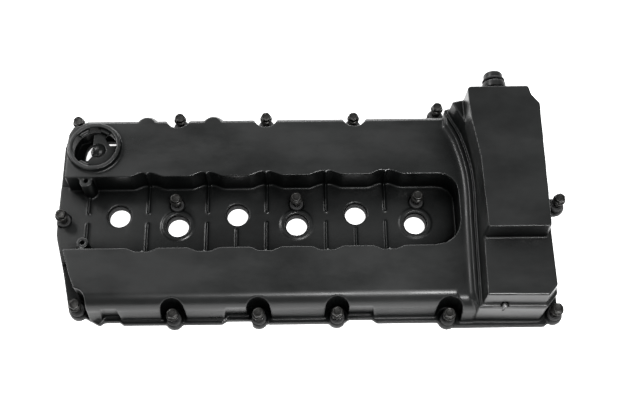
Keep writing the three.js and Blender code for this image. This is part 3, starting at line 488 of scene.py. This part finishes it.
def rubber_bush(node):
    """A rubber sleeve with a lip under the bolt's flange."""
    centre, foot, top = upright(node)
    bm = turned_tube([
        (BUSH_BORE_R, foot, 0.3),
        (BUSH_STEM_R, foot, 0.5),
        (BUSH_STEM_R, top - 3.0, 0.1),
        (BUSH_LIP_R - 0.05, top - 3.0, 0.3),
        (BUSH_LIP_R, top - 1.4, 0.5),
        (6.9, top, 0.6),
        (5.6, top, 0.3),
        (5.3, top - 0.5, 0.2),
        (4.9, top - 0.5, 0.2),
        (4.8, top - 0.05, 0.1),
        (BUSH_BORE_R, top - 0.05, 0.15),
    ], BUSH_SIDES, centre)
    obj = new_object(node + "_detailed", bm)
    finish_piece(obj, node, BUSH_RUBBER, smooth_angle=40)


for index, name in enumerate(bolt_names):
    captive_bolt(name, index)
    rubber_bush(name.replace("bolt_", "bush_"))


# ---- Coil well gasket: six lipped rings joined by straps ------------------------------------

RING_SIDES = 64
STRAP_HALF_WIDTH = 2.5
STRAP_END_R = 16.6  # where a strap meets its ring, inside the ring's rim

# Corners of (radius, height, rounding) of one ring: a flange with a lipped collar.
GASKET_RING = [
    (11.5, 1.0, 0.2), (12.5, 0.0, 0.2), (17.0, 0.0, 0.3), (17.0, 4.0, 0.3), (12.9, 4.0, 0.2),
    (12.5, 9.0, 0.3), (12.1, 9.0, 0.15), (11.9, 8.2, 0.2), (11.5, 7.6, 0.2), (11.5, 6.6, 0.2),
    (12.0, 6.0, 0.2), (12.0, 4.6, 0.2), (11.5, 4.0, 0.2),
]
# Across a strap in half widths, and the height in millimetres.
STRAP_SECTION = [
    (-1, 1.3), (-0.9, 1.05), (0.9, 1.05), (1, 1.3), (1, 3.7), (0.9, 3.95), (-0.9, 3.95), (-1, 3.7),
]


def well_place(i):
    """Where a coil well stands: the wells are staggered to and fro along the bank."""
    stagger = WELL_STAGGER if i % 2 == 0 else -WELL_STAGGER
    return (i - (WELL_COUNT - 1) / 2) * COIL_PITCH, WELL_MIDDLE_Y + stagger


def well_gasket():
    """One seal for all the wells."""
    bm = bmesh.new()
    places = [well_place(i) for i in range(WELL_COUNT)]
    for x, y in places:
        part = turned_tube(GASKET_RING, RING_SIDES, at(x, y))
        mesh = bpy.data.meshes.new("ring")
        part.to_mesh(mesh)
        part.free()
        bm.from_mesh(mesh)
        bpy.data.meshes.remove(mesh)
    for (x0, y0), (x1, y1) in zip(places, places[1:]):
        start = at(x0, y0)
        end = at(x1, y1)
        ahead = (end - start).normalized()
        side = Vector((-ahead.y, ahead.x, 0)) * STRAP_HALF_WIDTH * MM
        start = start + ahead * STRAP_END_R * MM
        end = end - ahead * STRAP_END_R * MM
        rings = []
        for place in (start, end):
            rings.append([
                place + side * across + Vector((0, 0, height * MM))
                for across, height in STRAP_SECTION
            ])
        ring_loft(bm, rings, close_ends=True)
    bmesh.ops.recalc_face_normals(bm, faces=bm.faces)
    obj = new_object("well_gasket_detailed", bm)
    finish_piece(obj, "plug_well_gasket", RUBBER, smooth_angle=40)


well_gasket()


# ---- Hose connector and its ring -----------------------------------------------------------

NOZZLE_WALL = 7  # from the nozzle's foot to the outside of the shell's wall
NOZZLE_BORE_R = 8.3
NOZZLE_ROOT_R = 9.8
NOZZLE_COLLAR_R = 13.0
NOZZLE_GROOVE_R = 9.5
NOZZLE_MOUTH_R = 10.5
O_RING_R = 11.25
O_RING_WIRE_R = 1.0
O_RING_WIRE_SIDES = 14


def hose_connector():
    """The breather nozzle with its collar and groove, and the ring that seals it."""
    low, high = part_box("breather_nozzle")
    centre = Vector(((low.x + high.x) / 2, 0, (low.z + high.z) / 2))
    foot = low.y / MM
    mouth = high.y / MM
    wall = foot + NOZZLE_WALL
    bm = turned_tube([
        (NOZZLE_BORE_R, foot, 0.2),
        (NOZZLE_ROOT_R, foot, 0.4),
        (NOZZLE_ROOT_R, wall + 0.3, 0),
        (11.3, wall + 0.3, 0.2),
        (11.1, wall + 2.6, 0.4),
        (NOZZLE_COLLAR_R, wall + 3.4, 0.5),
        (NOZZLE_COLLAR_R, wall + 10.3, 0.7),
        (10.5, wall + 11.1, 0.6),
        (NOZZLE_GROOVE_R, mouth - 9.8, 0.3),
        (NOZZLE_GROOVE_R, mouth - 7.0, 0.2),
        (NOZZLE_MOUTH_R, mouth - 7.0, 0.3),
        (NOZZLE_MOUTH_R, mouth - 1.2, 0.3),
        (9.7, mouth, 0.4),
        (NOZZLE_BORE_R, mouth, 0.4),
    ], RING_SIDES, centre, axis="Y")
    obj = new_object("breather_nozzle_detailed", bm)
    finish_piece(obj, "breather_nozzle", BOX_PLASTIC, smooth_angle=40)
    low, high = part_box("nozzle_o_ring")
    middle_y = (low.y + high.y) / 2 / MM
    circle = []
    for k in range(O_RING_WIRE_SIDES):
        a = 2 * math.pi * k / O_RING_WIRE_SIDES
        radius = O_RING_R + O_RING_WIRE_R * math.cos(a)
        circle.append((radius, middle_y + O_RING_WIRE_R * math.sin(a), 0))
    bm = turned_tube(circle, RING_SIDES, centre, axis="Y")
    obj = new_object("nozzle_o_ring_detailed", bm)
    finish_piece(obj, "nozzle_o_ring", RUBBER, smooth_angle=0)


hose_connector()


# ---- Separator screw -----------------------------------------------------------------------

SCREW_SHANK_R = 1.5
SCREW_HEAD_R = 2.7
SOCKET_DEPTH = 1.6
SOCKET_LOBES = 6
LOBE_SWELL = 0.16


def cover_screw():
    """A small pan-headed screw with a six-lobed socket."""
    centre, foot, top = upright("separator_screw")

    def socket(angle, radius, height):
        """The radius swells into lobes inside the head's rim, and nowhere else."""
        if radius < SCREW_SHANK_R and height > top - SOCKET_DEPTH:
            return radius * (1 + LOBE_SWELL * math.cos(SOCKET_LOBES * angle))
        return radius

    profile = [
        (NEAR_AXIS, foot + 0.02), (0.9, foot + 0.02), (SCREW_SHANK_R, foot + 1.6),
        (SCREW_SHANK_R, top - 2.0), (2.62, top - 2.0), (SCREW_HEAD_R, top - 1.9),
        (SCREW_HEAD_R, top - 1.0), (2.5, top - 0.55), (2.1, top - 0.2), (1.7, top - 0.05),
        (1.45, top - 0.03), (1.3, top - 0.15), (1.2, top - 1.2), (NEAR_AXIS, top - 1.25),
    ]
    bm = bmesh.new()
    rings = turned_rings(profile, BOLT_SIDES, centre, shape=socket)
    ring_loft(bm, rings, close_ends=True)
    obj = new_object("separator_screw_detailed", bm)
    finish_piece(obj, "separator_screw", SCREW_STEEL, smooth_angle=40)


cover_screw()


# ---- Regulator spring ----------------------------------------------------------------------

SPRING_WIRE_R = 0.66
SPRING_R = 11
SPRING_TURNS = 4
SPRING_STEPS = 160
SPRING_WIRE_SIDES = 10


def regulator_spring():
    """A coil of round wire from its seat up to the diaphragm's plate."""
    low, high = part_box("regulator_spring")
    centre = Vector(((low.x + high.x) / 2, (low.y + high.y) / 2, 0))
    wire = SPRING_WIRE_R * MM
    coil = SPRING_R * MM
    rings = []
    for k in range(SPRING_STEPS + 1):
        angle = 2 * math.pi * SPRING_TURNS * k / SPRING_STEPS
        height = low.z + wire + (high.z - low.z - 2 * wire) * k / SPRING_STEPS
        outward = Vector((math.cos(angle), math.sin(angle), 0))
        hub = centre + outward * coil + Vector((0, 0, height))
        rings.append([
            hub + (outward * math.cos(a) + Vector((0, 0, math.sin(a)))) * wire
            for a in (2 * math.pi * i / SPRING_WIRE_SIDES for i in range(SPRING_WIRE_SIDES))
        ])
    bm = bmesh.new()
    ring_loft(bm, rings, close_ends=True)
    bmesh.ops.recalc_face_normals(bm, faces=bm.faces)
    obj = new_object("regulator_spring_coil", bm)
    finish_piece(obj, "regulator_spring", SPRING_STEEL, smooth_angle=50)
    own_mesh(obj)


regulator_spring()


# ---- Stage, light and camera ---------------------------------------------------------------

FLOOR_HALF_WIDTH = 6
FLOOR_DROP = 0.4 * MM
WHITE = (1, 1, 1, 1)
PAPER_GLOW = 0.86
WORLD_GLOW = 0.31

# The camera's place in millimetres of the design frame, its turns in degrees and its lens.
CAMERA_PLACE = (37.98, -432.70, 992.30)
CAMERA_TILT = 25  # off straight down
CAMERA_YAW = 1.0612
CAMERA_ROLL = -0.2897
SENSOR_WIDTH = 36
PICTURE_WIDTH = 618
FOCAL_LENGTH = 975.41  # in pixels of the picture


def stage():
    """White paper that glows a little, so that it stays even to the picture's edges."""
    floor_mesh = bmesh.new()
    bmesh.ops.create_grid(floor_mesh, x_segments=1, y_segments=1, size=FLOOR_HALF_WIDTH)
    floor = new_object("floor", floor_mesh)
    floor.location.z = -FLOOR_DROP
    paper = Nodes("paper")
    tone = paper.noise(scale=3, detail=2, roughness=0.5)
    paper.link(paper.ramp(tone, [(0.0, 0.93), (1.0, 0.95)]), paper.shader.inputs["Base Color"])
    paper.shader.inputs["Roughness"].default_value = 0.9
    paper.shader.inputs["Emission Color"].default_value = WHITE
    paper.shader.inputs["Emission Strength"].default_value = PAPER_GLOW
    floor.data.materials.append(paper.material)


def area_light(name, place, target, size, power, size_y=None):
    """A square or oblong lamp turned towards its target."""
    light = bpy.data.lights.new(name, "AREA")
    light.energy = power
    light.size = size
    if size_y:
        light.shape = "RECTANGLE"
        light.size_y = size_y
    obj = bpy.data.objects.new(name, light)
    bpy.context.scene.collection.objects.link(obj)
    obj.location = place
    ahead = Vector(target) - Vector(place)
    obj.rotation_euler = ahead.to_track_quat("-Z", "Y").to_euler()


def lights():
    """A long strip behind, a lamp behind on the left, and a narrow one above the front."""
    world = bpy.data.worlds.new("studio")
    bpy.context.scene.world = world
    world.use_nodes = True
    background = world.node_tree.nodes["Background"]
    background.inputs["Color"].default_value = WHITE
    background.inputs["Strength"].default_value = WORLD_GLOW
    area_light("rear_strip", (0.0, 1.75, 0.62), (0, 0.05, 0.03), size=2.2, power=34, size_y=0.35)
    area_light("left_rear", (-1.15, 0.85, 1.40), (0, 0, 0.03), size=0.45, power=12)
    area_light(
        "overhead_front", (0.42, -0.52, 1.65), (0.18, 0, 0.03), size=0.75, power=30, size_y=0.10,
    )


def camera():
    """Seen from in front and above, looking down by 65 degrees."""
    tilt = math.radians(CAMERA_TILT)
    yaw = math.radians(CAMERA_YAW)
    roll = math.radians(CAMERA_ROLL)
    level_ahead = Vector((math.sin(yaw), math.cos(yaw), 0))
    level_right = Vector((math.cos(yaw), -math.sin(yaw), 0))
    vertical = Vector((0, 0, 1))
    forward = math.sin(tilt) * level_ahead - math.cos(tilt) * vertical
    level_up = math.cos(tilt) * level_ahead + math.sin(tilt) * vertical
    right = math.cos(roll) * level_right - math.sin(roll) * level_up
    up = math.sin(roll) * level_right + math.cos(roll) * level_up
    data = bpy.data.cameras.new("camera")
    data.sensor_width = SENSOR_WIDTH
    data.lens = SENSOR_WIDTH * FOCAL_LENGTH / PICTURE_WIDTH
    obj = bpy.data.objects.new("camera", data)
    bpy.context.scene.collection.objects.link(obj)
    place = at(*CAMERA_PLACE)
    obj.matrix_world = Matrix((
        (right.x, up.x, -forward.x, place.x),
        (right.y, up.y, -forward.y, place.y),
        (right.z, up.z, -forward.z, place.z),
        (0, 0, 0, 1),
    ))
    bpy.context.scene.camera = obj


stage()
lights()
camera()
bpy.context.scene.view_settings.view_transform = "Standard"
